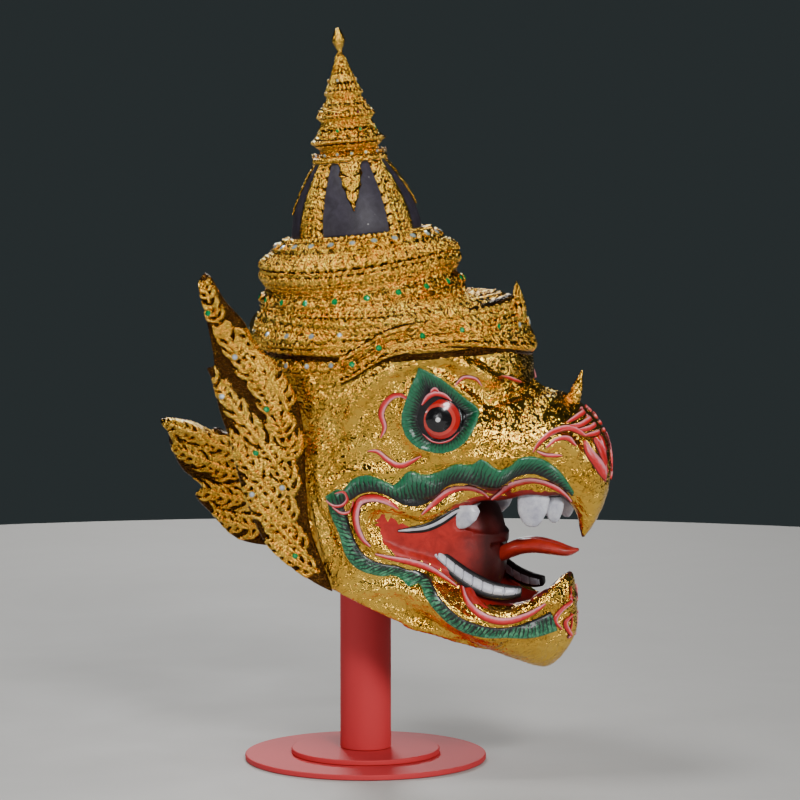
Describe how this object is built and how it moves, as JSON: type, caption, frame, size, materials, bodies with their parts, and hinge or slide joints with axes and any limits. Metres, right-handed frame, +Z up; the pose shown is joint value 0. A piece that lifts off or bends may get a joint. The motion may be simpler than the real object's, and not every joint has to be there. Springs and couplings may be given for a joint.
{
  "type": "garuda mask",
  "caption": "Gilt Garuda dance mask with a tiered crown and spire, flame ear ornaments, open beak with teeth and tongue, on a red turned stand.",
  "frame": {"origin": "centre of the underside of the round base of the stand", "axes": "+Z up through the post, -Y the way the beak points, +X the mask's left side"},
  "size_m": [0.3052, 0.441, 0.6824],
  "materials": {
    "gilt": "crinkled gold leaf over lacquer",
    "black_paint": "dull black paint",
    "tongue_paint": "satin red paint",
    "tooth_paint": "satin white paint",
    "stand_paint": "matt red paint over wood"
  },
  "bodies": {
    "root": {"mask_head": "gilt", "crown_dome": "black_paint", "crown_spire": "gilt", "ear_ornament_right": "gilt", "ear_ornament_left": "gilt", "nape_ornament": "gilt", "tongue": "tongue_paint", "beak_horn": "gilt", "tiara_bud": "gilt", "tooth_molar_right": "tooth_paint", "tooth_molar_left": "tooth_paint", "tooth_fang_right": "tooth_paint", "tooth_fang_left": "tooth_paint", "tooth_front_right": "tooth_paint", "tooth_front_left": "tooth_paint", "stand_post": "stand_paint", "stand_collar": "stand_paint", "stand_base": "stand_paint"}
  },
  "joints": []
}
